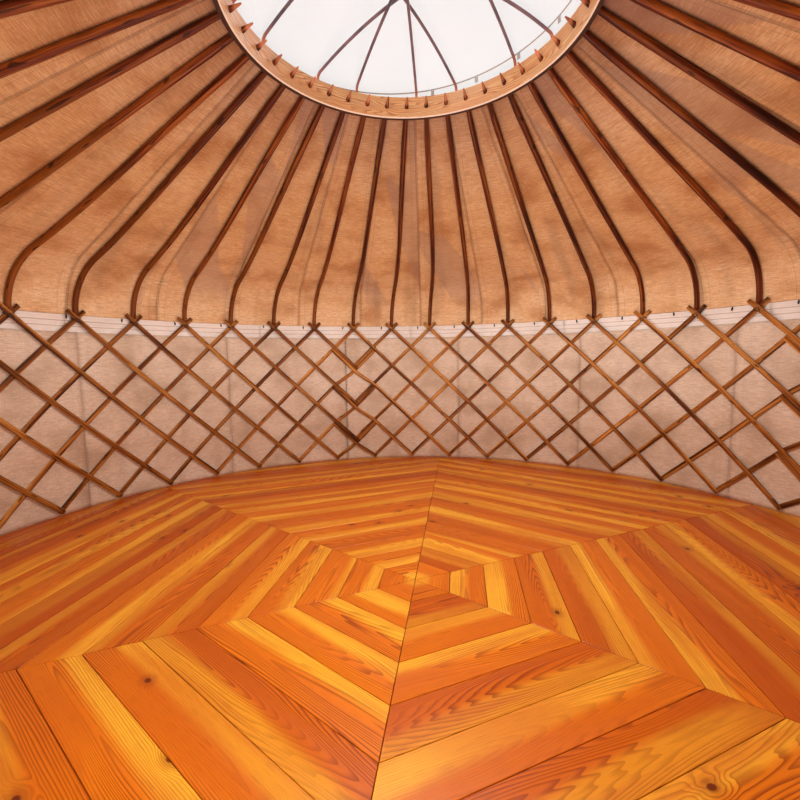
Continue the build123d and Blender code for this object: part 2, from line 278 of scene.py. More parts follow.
def barkedWood(name, light, mid, dark, roughness=0.45, streak=26.0, foot=None, tip=None):
    # a split or turned rod, its grain running along it; foot and tip colours go by height and distance from the middle
    s = Shader(name, roughness, Specular_IOR_Level=0.22)
    grain = s.attribute("grain")
    wide = s.noise(grain, (1.3, streak, 1), 2.0, 0.55)
    fine = s.noise(grain, (7, streak * 5, 1), 1.0, 0.6)
    colour = s.ramp(wide, (0.32, dark), (0.5, mid), (0.68, light))
    x, y, z = s.split(s.place())
    if foot:
        golden = s.plus(s.plus(z, s.times(x, 0.28)), s.times(s.noise(grain, (0.4, 1, 1), 0.0), 0.5))
        colour = s.tint(colour, foot, golden, floorTop + 2.25, floorTop + 1.72, 0.75)
    if tip:
        middle = s.node("ShaderNodeVectorMath", {0: s.join(x, y, 0.0)}, operation="LENGTH").outputs["Value"]
        colour = s.tint(colour, tip, middle, 0.812, 0.79)
    colour = s.tint(colour, dark, fine, 0.45, 0.72, 0.45)
    knots = s.noise(grain, (9, 60, 1), 0.0)
    colour = s.tint(colour, rgb(48, 18, 6), knots, 0.74, 0.80, 0.75)
    tone = s.ramp(s.attribute("tone", "Fac"), (0.0, rgb(188, 172, 158)), (1.0, rgb(255, 250, 244)))
    colour = s.mix(1.0, colour, tone, "MULTIPLY")
    return s.finish(colour, s.bump(wide, 0.4, 0.0014), s.step(fine, 0.3, 0.8, roughness - 0.08, roughness + 0.12))


def bentRingWood():
    # plain-sawn wood bent to a hoop: the grain runs round the ring
    s = Shader("ringWood", 0.42)
    x, y, z = s.split(s.place())
    angle = s.math("ARCTAN2", x, y)
    radius = s.node("ShaderNodeVectorMath", {0: s.join(x, y, 0.0)}, operation="LENGTH").outputs["Value"]
    grain = s.join(s.times(angle, 0.82), z, radius)
    wander = s.noise(grain, (2.2, 12, 4), 2.0, flat=False)
    rings = s.math("DIVIDE", s.plus(z, s.times(wander, 0.15)), 0.0105)
    phase = s.math("FRACT", rings)
    late = s.times(s.step(phase, 0.30, 0.92), s.step(phase, 1.0, 0.92))
    patches = s.noise(grain, (2.0, 18, 3), 2.0, flat=False)
    colour = s.mix(s.step(patches, 0.3, 0.7), rgb(242, 172, 108), rgb(254, 206, 146))
    colour = s.mix(s.times(late, s.step(patches, 0.3, 0.65, 0.35, 0.85)), colour, rgb(190, 104, 48))
    fine = s.noise(grain, (30, 700, 60), 1.0, flat=False)
    colour = s.tint(colour, rgb(160, 90, 44), fine, 0.5, 0.75, 0.2)
    # painted shade on the underside and a painted highlight on the eased edge beside it, set by which way the surface
    # faces
    facing = s.split(s.node("ShaderNodeNewGeometry").outputs["Normal"])[2]
    colour = s.tint(colour, rgb(255, 232, 208), facing, -0.45, -0.60)
    colour = s.tint(colour, rgb(58, 24, 12), facing, -0.84, -0.92)
    return s.finish(colour, s.bump(fine, 0.2, 0.0006))


def bowWood():
    # dark rods that stay orange near their feet
    s = Shader("bowWood", 0.5)
    x, y, z = s.split(s.place())
    streaks = s.noise(s.place(), (9, 9, 9), 2.0, flat=False)
    fine = s.noise(s.place(), (160, 160, 160), 1.0, flat=False)
    colour = s.ramp(streaks, (0.3, rgb(84, 72, 82)), (0.7, rgb(142, 108, 116)))
    foot = s.step(z, house["ringTop"] + 0.07, house["ringTop"] - 0.01)
    colour = s.mix(foot, colour, rgb(222, 124, 74))
    return s.finish(colour, s.bump(fine, 0.3, 0.0008))


def sawnTimber(name, light, dark):
    s = Shader(name, 0.7)
    place = s.place()
    wide = s.noise(place, (3, 3, 26), 2.0, 0.6, flat=False)
    fine = s.noise(place, (60, 60, 420), 1.0, flat=False)
    colour = s.ramp(wide, (0.3, dark), (0.7, light))
    colour = s.tint(colour, dark, fine, 0.45, 0.7, 0.3)
    return s.finish(colour, s.bump(s.plus(wide, fine), 0.35, 0.0012))


def frameTimber(name, light, dark, upright):
    # planed door timber, its grain along the piece
    s = Shader(name, 0.4)
    x, y, z = s.split(s.place())
    angle = s.times(s.math("ARCTAN2", x, y), wallRadius)
    grain = s.join(z, angle, y) if upright else s.join(angle, z, y)
    wide = s.noise(grain, (1.6, 22, 8), 2.0, 0.5, 0.5, flat=False)
    fine = s.noise(grain, (9, 420, 120), 1.0, flat=False)
    colour = s.ramp(wide, (0.28, dark), (0.7, light))
    colour = s.tint(colour, dark, fine, 0.45, 0.72, 0.35)
    return s.finish(colour, s.bump(s.plus(wide, fine), 0.3, 0.001))


def clothLook(name, pale, mid, dark, slub, seamColour, streakAmount, heights=(), patch=None, seamWeight=0.5, lines=(),
              wale=0.15):
    # woven cloth: "cloth" holds metres round and along the sheet, "seam" metres to the nearest seam
    s = Shader(name, 0.9, Specular_IOR_Level=0.0)
    cloth = s.attribute("cloth")
    u, v, w = s.split(cloth)
    across = s.noise(cloth, (slub * 0.30, slub * 3.2, 1), 1.0, 0.6)
    along = s.noise(cloth, (slub * 3.2, slub * 0.35, 1), 1.0, 0.6)
    threads = s.math("MULTIPLY_ADD", along, 0.4, across)
    blotch = s.noise(cloth, (2.2, 3.1, 1), 2.0, 0.55)
    colour = s.ramp(blotch, (0.28, dark), (0.5, mid), (0.75, pale))
    colour = s.tint(colour, dark, threads, 0.58, 0.86, 0.48)
    colour = s.tint(colour, pale, threads, 0.68, 0.50, 0.34)
    streak = s.noise(cloth, (3.2, 46, 1), 2.0, 0.6)
    colour = s.tint(colour, dark, streak, 0.48, 0.66, wale)
    # painted highlight on the ridges of the cloth's folds and painted shade in their hollows
    fold = s.attribute("fold", "Fac")
    colour = s.tint(colour, rgb(255, 244, 226), fold, 0.1, 1.0, 0.55)
    colour = s.tint(colour, [0.5 * (a + b) for a, b in zip(dark, (0.10, 0.05, 0.03, 1.0))], fold, -0.1, -1.0, 0.42)
    if patch:
        # painted shade: broad greyer areas with fairly clear slanting edges, where outer flaps overlap the lining
        slant = s.join(s.plus(u, s.times(v, 0.30)), v, w)
        area = s.noise(slant, (2.3, 0.30, 0.7), 1.0, flat=False)
        wearAndShade = s.times(s.step(area, 0.60, 0.612), s.step(v, 0.12, 0.4))
        colour = s.mix(s.times(wearAndShade, 0.42), colour, patch)
    # a colour multiplied in by height up the sheet, which on the roof lining is painted shade deepening towards the
    # crown
    if heights:
        tint = s.ramp(s.math("DIVIDE", v, 2.4), *heights)
        colour = s.mix(1.0, colour, tint, "MULTIPLY")
    # darker streaks running up the cloth at random places
    if streakAmount:
        streaks = s.noise(cloth, (5.5, 0.7, 1), 1.0, 0.6)
        colour = s.tint(colour, seamColour, streaks, 0.52, 0.80, streakAmount)
    for place in lines:
        # painted shade: a thin grey line along each pressed crease
        drift = s.plus(v, s.times(s.math("SINE", s.times(u, 7.3)), 0.0012))
        groove = s.step(s.math("ABSOLUTE", s.math("SUBTRACT", drift, place)), 0.0042, 0.0012)
        colour = s.mix(s.times(groove, 0.36), colour, rgb(158, 150, 146))
    seam = s.attribute("seam", "Fac")
    stitch = s.step(s.math("ABSOLUTE", s.math("SUBTRACT", seam, 0.0070)), 0.0018, 0.0006, 0.0, seamWeight)
    dashes = s.step(s.math("SINE", s.times(v, 2 * pi / 0.009)), -0.6, 0.1, 0.4, 1.0)
    colour = s.mix(s.times(stitch, dashes), colour, seamColour)
    # painted shade: a fainter line to one side of each seam, where the outer cover's seam shades the lining
    ply = s.math("MULTIPLY_ADD", s.math("SINE", s.math("MULTIPLY_ADD", w, 2.4, v)), 0.014, 0.051)
    under = s.step(s.math("ABSOLUTE", s.math("SUBTRACT", seam, ply)), 0.0030, 0.0008, 0.0, seamWeight * 0.45)
    colour = s.mix(under, colour, seamColour)
    colour = s.tint(colour, seamColour, seam, 0.0100, 0.0088, seamWeight * 0.2)
    return s.finish(colour, s.bump(across, 0.45, 0.0014))


def clearSheet():
    # flexible clear sheet: mostly see-through, a little gloss and haze
    s = Shader("clearSheet", 0.12, Alpha=0.16, IOR=1.45, Specular_IOR_Level=0.5)
    ripple = s.noise(s.place(), (3, 3, 3), 1.0, flat=False)
    return s.finish(s.mix(s.step(ripple, 0.3, 0.7), rgb(236, 240, 244), rgb(250, 252, 254)), s.bump(ripple, 0.1, 0.004))


def plainFinish(name, colour, darker, roughness, scale):
    s = Shader(name, roughness)
    fine = s.noise(s.place(), (scale, scale, scale), 2.0, flat=False)
    return s.finish(s.tint(colour, darker, fine, 0.35, 0.7), s.bump(fine, 0.25, 0.0006))


def webbingLook():
    s = Shader("webbing", 0.85, Sheen_Weight=0.2)
    cloth = s.attribute("cloth")
    u, v, w = s.split(cloth)
    ribs = s.math("SINE", s.times(u, 2 * pi / 0.004))
    lines = s.math("SINE", s.times(v, 2 * pi / 0.006))
    wearAndShade = s.noise(cloth, (4, 30, 1), 3.0)
    colour = s.mix(s.step(lines, -0.2, 0.6, 0.0, 0.35), rgb(196, 178, 146), rgb(150, 128, 96))
    colour = s.tint(colour, rgb(128, 108, 82), wearAndShade, 0.4, 0.7, 0.4)
    return s.finish(colour, s.bump(s.plus(ribs, s.times(lines, 0.5)), 0.4, 0.0008))


# painted shade: the roof lining darkens from the eave towards the crown
liningShadeByHeight = [(0.0, rgb(255, 253, 250)), (0.12, rgb(252, 246, 238)), (0.34, rgb(234, 218, 200)),
               (0.62, rgb(218, 198, 178)), (0.96, rgb(202, 186, 184))]
looks = {
    "board": pineBoards(),
    "pole": barkedWood("poleWood", rgb(170, 94, 30), rgb(118, 48, 11), rgb(56, 15, 3), 0.5, 80.0,
                       rgb(158, 92, 30), rgb(240, 156, 118)),
    "lath": barkedWood("lathWood", rgb(232, 168, 84), rgb(190, 120, 48), rgb(96, 50, 14), 0.5, 34.0),
    "ring": bentRingWood(),
    "bow": bowWood(),
    "sawn": sawnTimber("sawnTimber", rgb(198, 160, 116), rgb(150, 112, 74)),
    "jamb": frameTimber("jambTimber", rgb(168, 104, 58), rgb(98, 52, 26), True),
    "rail": frameTimber("railTimber", rgb(168, 104, 58), rgb(98, 52, 26), False),
    "roofLining": clothLook("roofLining", rgb(252, 222, 182), rgb(242, 204, 158), rgb(202, 152, 106), 58.0,
                            rgb(116, 90, 78), streakAmount=0.25, heights=liningShadeByHeight, patch=rgb(186, 160, 148),
                            seamWeight=0.62, wale=0.22),
    "wallLining": clothLook("wallLining", rgb(242, 226, 208), rgb(228, 208, 186), rgb(196, 172, 148), 60.0,
                            rgb(150, 120, 100), streakAmount=0.15, seamWeight=0.3, wale=0.22),
    "roofCanvas": clothLook("roofCanvas", rgb(246, 242, 236), rgb(239, 233, 225), rgb(222, 213, 202), 90.0,
                            rgb(176, 162, 146), streakAmount=0.12),
    "wallCanvas": clothLook("wallCanvas", rgb(253, 250, 247), rgb(248, 243, 238), rgb(232, 225, 218), 90.0,
                            rgb(186, 174, 162), streakAmount=0.08, seamWeight=0.3, lines=(1.464, 1.5035), wale=0.10),
    "webbing": webbingLook(),
    "clear": clearSheet(),
    "cord": plainFinish("darkCord", rgb(62, 40, 30), rgb(34, 22, 18), 0.8, 400.0),
    "toggle": plainFinish("blackToggle", rgb(30, 26, 27), rgb(14, 12, 13), 0.42, 120.0),
    "tape": plainFinish("paleTape", rgb(206, 202, 198), rgb(182, 178, 172), 0.6, 300.0),
}
print("materials ready")


# meshes

class Bag:
    # gathers many small forms into one mesh
    def __init__(self):
        self.points, self.faces, self.layers, self.count = [], [], {}, 0

    def add(self, points, faces, **layers):
        points = np.asarray(points, float).reshape(-1, 3)
        self.points.append(points)
        self.faces += [tuple(int(i) + self.count for i in face) for face in faces]
        for key, values in layers.items():
            self.layers.setdefault(key, []).append(np.asarray(values, float).reshape(len(points), -1))
        self.count += len(points)

    def build(self, name, look, smooth=True):
        mesh = bpy.data.meshes.new(name)
        mesh.from_pydata(np.concatenate(self.points).tolist(), [], self.faces)
        for key, parts in self.layers.items():
            values = np.concatenate(parts)
            kind, field = ("FLOAT", "value") if values.shape[1] == 1 else ("FLOAT_VECTOR", "vector")
            mesh.attributes.new(key, kind, "POINT").data.foreach_set(field, values.ravel())
        shape = bmesh.new()
        shape.from_mesh(mesh)
        bmesh.ops.recalc_face_normals(shape, faces=shape.faces)
        shape.to_mesh(mesh)
        shape.free()
        mesh.polygons.foreach_set("use_smooth", [smooth] * len(mesh.polygons))
        mesh.materials.append(look)
        piece = bpy.data.objects.new(name, mesh)
        bpy.context.scene.collection.objects.link(piece)
        mesh.update()
        return piece


def gridFaces(rows, columns, closeRows=False, closeColumns=False):
    faces = []
    for i in range(rows if closeRows else rows - 1):
        for j in range(columns if closeColumns else columns - 1):
            a, b = i * columns + j, i * columns + (j + 1) % columns
            c, d = ((i + 1) % rows) * columns + (j + 1) % columns, ((i + 1) % rows) * columns + j
            faces.append((a, b, c, d))
    return faces


def shellFaces(rows, columns):
    # an inner and an outer layer of the same grid, joined along the rim
    count = rows * columns
    inner = gridFaces(rows, columns)
    outer = [tuple(count + i for i in face[::-1]) for face in inner]
    ring = list(range(columns)) + [i * columns + columns - 1 for i in range(1, rows)]
    ring += [count - columns + j for j in range(columns - 2, -1, -1)] + [i * columns for i in range(rows - 2, 0, -1)]
    return inner + outer + [(ring[i - 1], ring[i], ring[i] + count, ring[i - 1] + count) for i in range(len(ring))]


def sweep(bag, path, outward, profile, scale=None, tone=0.5, seed=0.0, closed=False):
    # runs a closed outline (side, out) along a path; scale widens or narrows it on the way
    path, outward, profile = np.asarray(path, float), np.asarray(outward, float), np.asarray(profile, float)
    n, m = len(path), len(profile)
    if closed:
        tangent = np.roll(path, -1, 0) - np.roll(path, 1, 0)
    else:
        tangent = np.gradient(path, axis=0)
    tangent /= np.linalg.norm(tangent, axis=1)[:, None]
    outward = np.broadcast_to(outward, path.shape)
    side = np.cross(tangent, outward)
    side /= np.linalg.norm(side, axis=1)[:, None]
    out = np.cross(side, tangent)
    scale = np.ones(n) if scale is None else np.asarray(scale, float)
    scale = scale.reshape(n, -1) * np.ones((1, 2))
    points = (path[:, None, :] + side[:, None, :] * (profile[None, :, 0] * scale[:, :1])[:, :, None]
              + out[:, None, :] * (profile[None, :, 1] * scale[:, 1:])[:, :, None])
    along = np.concatenate([[0], np.cumsum(np.linalg.norm(np.diff(path, axis=0), axis=1))])
    grain = np.zeros((n, m, 3))
    grain[:, :, 0] = along[:, None] + seed * 7.3
    grain[:, :, 1] = profile[None, :, 0] * scale[:, :1] + 0.4 * profile[None, :, 1] * scale[:, 1:]
    grain[:, :, 2] = seed * 3.1
    faces = gridFaces(n, m, closeRows=closed, closeColumns=True)
    if not closed:
        faces.append(tuple(range(m - 1, -1, -1)))
        faces.append(tuple((n - 1) * m + j for j in range(m)))
    bag.add(points, faces, grain=grain.reshape(-1, 3), tone=np.full(n * m, tone))


def circle(count):
    turns = np.arange(count) * 2 * pi / count
    return np.stack([np.cos(turns), np.sin(turns)], 1)


def bandShape(width, thickness):
    return np.array([(-0.5, -0.5), (-0.5, 0.5), (0.5, 0.5), (0.5, -0.5)]) * [width, thickness]


def stacked(layers):
    return np.concatenate([layer.reshape(-1, 3) for layer in layers])


def on(angle, radius, height):
    angle, radius, height = np.broadcast_arrays(angle, radius, height)
    return np.stack([radius * np.sin(angle), radius * np.cos(angle), height + floorTop], -1)


# floor boards

boards = {
    "width": 0.1746,
    "gap": 0.0014,
    "thickness": 0.022,
    "edge": 0.0014,
    "turn": radians(23.4),
    "liftNoise": 0.00025,
}


def clipPolygon(points, normal, limit):
    # keeps the part of an outline where normal . point <= limit
    kept = []
    for i in range(len(points)):
        a, b = points[i], points[(i + 1) % len(points)]
        da, db = float(a @ normal) - limit, float(b @ normal) - limit
        if da <= 0:
            kept.append(a)
        if da * db < 0:
            kept.append(a + (b - a) * (da / (da - db)))
    return kept


def floorSector(number):
    # boards at right angles to the sector's middle line, mitred at its two sides
    radius = house["floorRadius"] - 0.001
    angle = radians(60 * number + 60) - boards["turn"]
    bag = Bag()
    rim = [np.array([radius * sin(t), radius * cos(t)]) for t in np.linspace(-pi / 6, pi / 6, 41)]
    wedge = [np.array([0.0, 0.0])] + rim
    spread = [(cos(pi / 6), -sin(pi / 6)), (-cos(pi / 6), -sin(pi / 6))]
    rows = int(math.ceil(radius / boards["width"]))
    turn = np.array([[cos(angle), -sin(angle)], [sin(angle), cos(angle)]])
    for row in range(rows):
        low = row * boards["width"] + boards["gap"]
        high = (row + 1) * boards["width"] - boards["gap"]
        outline = clipPolygon(wedge, np.array([0.0, -1.0]), -low)
        outline = clipPolygon(outline, np.array([0.0, 1.0]), high)
        for normal in spread:
            outline = clipPolygon(outline, np.array(normal), -boards["gap"])
        if len(outline) < 3:
            continue
        outline = np.array(outline)
        middle = outline.mean(0)
        tone = float(rng.random())
        seed = number * 17.3 + row * 5.9 + tone * 11
        lift = boards["liftNoise"] * float(rng.normal())
        step = middle - outline
        step /= np.maximum(np.abs(step), 1e-6)
        inner = outline + step * boards["edge"]
        rings = [(outline, -boards["thickness"]), (outline, -boards["edge"] * 0.8), (inner, 0.0)]
        points, grain = [], []
        for shape, z in rings:
            world = shape @ turn
            points.append(np.column_stack([world, np.full(len(world), floorTop + z + lift)]))
            flip = -1 if tone > 0.5 else 1
            grain.append(np.column_stack([shape[:, 0] + seed, (shape[:, 1] - (low + high) / 2) * flip,
                                          np.full(len(shape), seed)]))
        m = len(outline)
        faces = gridFaces(3, m, closeColumns=True)
        faces += [tuple(2 * m + j for j in range(m)), tuple(range(m - 1, -1, -1))]
        bag.add(np.concatenate(points), faces, grain=np.concatenate(grain), tone=np.full(3 * m, tone))
    piece = bag.build(f"floorBoards{number + 1}", looks["board"], smooth=False)
    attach(piece, "root")
    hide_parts(f"floor_sector_{number + 1}")


for number in range(6):
    floorSector(number)
print("floor laid")


# lattice wall

lattice = {
    "width": 0.036,
    "thickness": 0.0114,
    "topReach": 0.060,
    "endReach": 0.030,
    "doorReach": 0.020,
    "sideGap": 0.0006,
    "doorPitches": 3,
    "joints": [8.5, 17.5, 27.5],      # pitches from the door's side, going round
}
halfStep = wallRadius * sin(pitch / 2)
lathSlope = house["rowStep"] / halfStep
lathHalfHeight = lattice["width"] / 2 / cos(math.atan(lathSlope))
wallEnd = (house["poles"] - lattice["doorPitches"]) / 2
sectionEnds = [-wallEnd] + [-wallEnd + j for j in lattice["joints"]] + [wallEnd]
lathProfile = np.array([(0.5, -0.18), (0.5, 0.22), (0.44, 0.5), (0.0, 0.52), (-0.44, 0.5), (-0.5, 0.22), (-0.5, -0.18),
                        (-0.40, -0.42), (-0.2, -0.53), (0.0, -0.56), (0.2, -0.53), (0.40, -0.42)])


def rowHeight(row):
    return house["crossingTop"] - row * house["rowStep"]


def lathPieces(low, high, lowJoint, highJoint):
    # every lath of one section as (top column, way, first row, last row, doubled)
    plans = [(1, low - 0.5 if lowJoint else low, high), (-1, low, high + 0.5 if highJoint else high)]
    for way, left, right in plans:
        near = left if way == 1 else right
        joined = lowJoint if way == 1 else highJoint
        column = math.floor(low) - 5 + house["poles"] / 2 % 1
        while column < high + 6:
            rows = [r for r in range(house["rows"] + 1) if left <= column + way * r / 2 <= right]
            if len(rows) > 1:
                first, last = rows[0], rows[-1]
                doubled = joined and first > 0 and abs(column + way * first / 2 - near) < 0.01
                yield column, way, first, last, doubled
            column += 1


def endReach(column):
    return (lattice["doorReach"] if wallEnd - abs(column) < 0.01 else lattice["endReach"]) / house["rowStep"]


def latticeSection(number):
    low, high = sectionEnds[number], sectionEnds[number + 1]
    bag = Bag()
    for column, way, first, last, doubled in lathPieces(low, high, number > 0, number < 3):
        reach = endReach(column + way * first / 2)
        start = first - (lattice["topReach"] / house["rowStep"] if first == 0 else reach)
        lowest = (rowHeight(house["rows"]) - lathHalfHeight) / house["rowStep"]
        end = last + (lowest if last == house["rows"] else endReach(column + way * last / 2))
        rows = np.linspace(start, end, max(4, int((end - start) * 6)))
        drop = np.zeros(len(rows))
        if doubled:
            shift = 2 * lathHalfHeight + lattice["sideGap"]
            drop = shift * np.clip((first + 2 - rows) / (1 - reach), 0, 1)
        angles = (column + way * rows / 2) * pitch
        tone, seed = float(rng.random()), float(rng.random()) * 40
        bend = 0.0016 * smoothNoise(rows * 0.9 + seed, rows * 0 + number, 3)
        bend *= np.clip((rows - start) * 2, 0, 1) * np.clip((end - rows) * 2, 0, 1)
        radius = wallRadius - 0.0045 + (-way) * lattice["thickness"] * 0.52
        path = on(angles, radius, house["crossingTop"] - rows * house["rowStep"] - drop + bend)
        outward = on(angles, 1.0, -floorTop)
        scale = np.ones((len(rows), 2))
        scale[:, 0] = 1 + 0.035 * smoothNoise(rows * 1.3 + seed, rows * 0 + 7, 5)
        scale[0] *= 0.86
        scale[-1] *= 0.86
        profile = lathProfile * [lattice["width"], lattice["thickness"]]
        sweep(bag, path, outward, profile, scale, tone, seed)
    piece = bag.build(f"latticeWall{number + 1}", looks["lath"])
    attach(piece, "root")
    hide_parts(f"lattice_section_{number + 1}")


for number in range(4):
    latticeSection(number)
print("lattice up")


# roof poles

poles = {
    "radius": 0.0188,
    "neckRadius": 0.0129,
    "neckLength": 0.045,
    "taperLength": 0.150,
    "tipReach": 0.060,
    "tipRadius": 0.0050,
    "groups": 5,
    "wobble": 0.0025,
    "sways": [(-20, 0.012), (-16, 0.030), (-12, 0.020), (-9, 0.042), (-5, 0.034), (-1.5, 0.030), (0.5, 0.040),
              (1.5, 0.016), (3.5, 0.006), (6, 0.004), (8, 0.036), (11, 0.014), (15, 0.028), (20, 0.012)],
}
footHeight = house["crossingTop"] + lathHalfHeight + 0.0003


def poleSway(place, run):
    # steamed poles bow a little to one side past the bend; run is the plan distance from the wall
    fromBack = np.asarray(place, float) % house["poles"] - house["poles"] / 2
    amount = np.interp(fromBack, *zip(*poles["sways"]))
    reach = np.clip(np.asarray(run, float) / poleRun, 0, 1)
    return amount * np.sin(pi * reach ** 0.55) ** 1.5


def polePath(angle, stations):
    # points and outward directions along one pole; stations are metres from its foot
    stations = np.asarray(stations, float)
    upright = house["bendStart"] - footHeight
    arc = house["bendRadius"] * bendTurn
    turn = np.clip((stations - upright) / house["bendRadius"], 0, bendTurn)
    past = np.maximum(stations - upright - arc, 0)
    run = house["bendRadius"] * (1 - np.cos(turn)) + past * sin(bendTurn)
    rise = np.minimum(stations, upright) + house["bendRadius"] * np.sin(turn) + past * cos(bendTurn)
    inward = (crownPoint - footPoint) / poleRun
    x, y = run * inward[0], wallRadius + run * inward[1]
    c, s = cos(angle), sin(angle)
    path = np.stack([x * c + y * s, -x * s + y * c, footHeight + rise + floorTop], 1)
    flat = -inward
    back = np.array([flat[0] * c + flat[1] * s, -flat[0] * s + flat[1] * c])
    out = np.stack([back[0] * np.cos(turn), back[1] * np.cos(turn), np.sin(turn)], 1)
    return path, out


straight = math.hypot(poleRun - bendRun, house["holeHeight"] - bendEnd)
poleLength = house["bendStart"] - footHeight + house["bendRadius"] * bendTurn + straight


def roofPole(bag, angle, place, notched, seed):
    tip = poleLength + poles["tipReach"]
    shoulder = poleLength - poles["neckLength"]
    stations = np.concatenate([np.linspace(0, 0.6, 17), np.linspace(0.64, shoulder - poles["taperLength"], 20),
                               np.linspace(shoulder - 0.10, shoulder, 3), np.linspace(shoulder + 0.015, tip, 6),
                               [tip + 0.0012]])
    path, out = polePath(angle, stations)
    side = np.cross(np.gradient(path, axis=0), out)
    side /= np.linalg.norm(side, axis=1)[:, None]
    sway = poles["wobble"] * smoothNoise(stations * 1.1 + seed, stations * 0 + seed, 11)
    sway *= np.clip(stations / 0.5, 0, 1) * np.clip((poleLength - 0.25 - stations) / 0.5, 0, 1)
    run = wallRadius - np.hypot(path[:, 0], path[:, 1])
    path = path + side * (sway - poleSway(place, np.maximum(run, 0)))[:, None]
    knots = np.array([0, shoulder - poles["taperLength"], shoulder, poleLength, tip - 0.004, tip, tip + 0.0012])
    sizes = np.array([poles["radius"], poles["radius"], poles["neckRadius"], poles["neckRadius"],
                      poles["tipRadius"], poles["tipRadius"] * 0.8, poles["tipRadius"] * 0.4])
    radius = np.interp(stations, knots, sizes)
    radius = radius * (1 - 0.03 * np.abs(smoothNoise(stations * 2.1 + seed, stations * 0 + 2, 4)))
    sweep(bag, path, out, circle(14), radius, float(rng.random()), seed)
    if notched:
        # the foot is cut to sit in the fork of the laths
        first = bag.points[-1][:14]
        tangent = np.array([cos(angle), -sin(angle), 0.0])
        centre = path[0]
        first[:, 2] = centre[2] + np.abs((first - centre) @ tangent) * lathSlope


firstPlace = -(house["poles"] // poles["groups"] // 2)
poleBags = [Bag() for _ in range(poles["groups"])]
for number in range(house["poles"]):
    place = firstPlace + number
    group = number * poles["groups"] // house["poles"]
    roofPole(poleBags[group], pi + place * pitch, place, abs(place) > 1, number * 1.37)
for group, bag in enumerate(poleBags):
    piece = bag.build(f"roofPoles{group + 1}", looks["pole"])
    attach(piece, "root")
    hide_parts(f"roof_poles_{group + 1}")
print("poles raised")


# linings and covers, each sewn from panels

def panelSheet(name, look, edges, columns, profile, thickness, lift):
    # edges are the seams' angles, profile the radius and height from bottom to top; returns the cut's area too
    bag = Bag()
    r, h = profile[:, :1], profile[:, 1:]
    tangent = np.gradient(profile, axis=0)
    tangent /= np.linalg.norm(tangent, axis=1)[:, None]
    outR, outH = tangent[:, 1:], -tangent[:, :1]
    along = np.concatenate([[0], np.cumsum(np.linalg.norm(np.diff(profile, axis=0), axis=1))])[:, None]
    for number in range(len(edges) - 1):
        low, high = edges[number], edges[number + 1]
        angle = np.linspace(low, high, columns)[None, :] + r * 0
        across = (angle - (low + high) / 2) * r
        seam = (high - low) / 2 * r - np.abs(across)
        side = number + (across > 0)
        moved = lift(angle, r, h, along + 0 * angle, seam, side)
        cloth = np.stack([across + number * 3.17, along + 0 * angle, 0 * angle + number * 5.3], -1)
        # how sharply the cloth bends along its length, which the cloth material turns into painted highlight on ridges
        # and painted shade in hollows
        slope = np.gradient(moved, along[:, 0], axis=0)
        fold = np.clip(np.gradient(slope, along[:, 0], axis=0) / 45, -1, 1)
        layers = [on(angle, r + outR * d, h + outH * d) for d in (moved, moved + thickness)]
        bag.add(stacked(layers), shellFaces(len(profile), columns), cloth=stacked([cloth] * 2),
                seam=np.tile(seam.ravel(), 2), fold=np.concatenate([fold.ravel(), -fold.ravel()]))
    piece = bag.build(name, look)
    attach(piece, "root")
    middle = (profile[1:] + profile[:-1]) / 2
    area = (edges[-1] - edges[0]) * float((middle[:, 0] * np.diff(along[:, 0])).sum())
    return piece, area, ((edges[-1] - edges[0]) * float(profile[:, 0].max()), float(along[-1, 0]))


def valley(angle, radius):
    # 0 over a pole, 1 midway between two; follows the poles' sideways sway
    radius = np.clip(radius, house["ringInner"], wallRadius) + 0 * angle
    place = (angle - turnAt(radius) - pi) / pitch
    first = np.floor(place)
    swayHere, swayNext = (poleSway(first + k, runTo(radius)) / radius / pitch for k in (0, 1))
    low, high = first + swayHere, first + 1 + swayNext
    share = (place - low) / (high - low)
    return np.clip(4 * share * (1 - share), 0, 1)


def roundNoise(angle, along, fine, steep, seed):
    # smooth noise that meets itself after a full turn
    return smoothNoise(np.sin(angle) * fine + along * steep, np.cos(angle) * fine - along * steep * 0.7, seed)


cloth = {
    "liningOffset": 0.0193,
    "liningThickness": 0.0016,
    "liningBottom": 1.480,
    "liningSag": 0.0085,
    "liningPanels": 26,
    "liningTurn": radians(2.35),
    "puckerHeight": 0.0040,
    "puckerWave": 0.031,
    "puckerAt": 0.16,
    "puckerSpread": 0.09,
    "drawnHeight": 0.0065,
    "drawnWave": 0.033,
    "drawnSize": (0.085, 0.05),       # across and up
    # drawn places: azimuth in degrees, metres up from the lining's hem, strength
    "drawn": [(-53.0, 0.35, 1.0), (-34.0, 0.30, 0.35), (1.6, 0.26, 0.75), (22.0, 0.42, 0.4), (30.5, 0.22, 0.4),
              (61.5, 0.32, 1.0), (52.0, 0.20, 0.3), (-78.0, 0.28, 0.5), (96.0, 0.30, 0.8), (131.0, 0.24, 0.5),
              (163.0, 0.34, 0.7), (-112.0, 0.3, 0.9), (-146.0, 0.26, 0.6)],
    "wallInner": 2.7623,
    "wallTop": 1.352,
    "wallFold": 0.0019,
    "lacedSeam": radians(-15.1),
    "coverOffset": 0.0236,
    "coverThickness": 0.0022,
    "coverSag": 0.0050,
    "skirtBottom": 1.400,
    "coverTop": 1.478,
    "coverDrop": 0.070,
    "creases": (1.4335, 1.394),
    "strapHeights": (0.43, 1.0),
}
jambOuter = pitch / 2 * (lattice["doorPitches"] - lattice["doorReach"] / house["rowStep"]) - 0.0003 / wallRadius
coverEdge = jambOuter - 0.040 / house["floorRadius"]


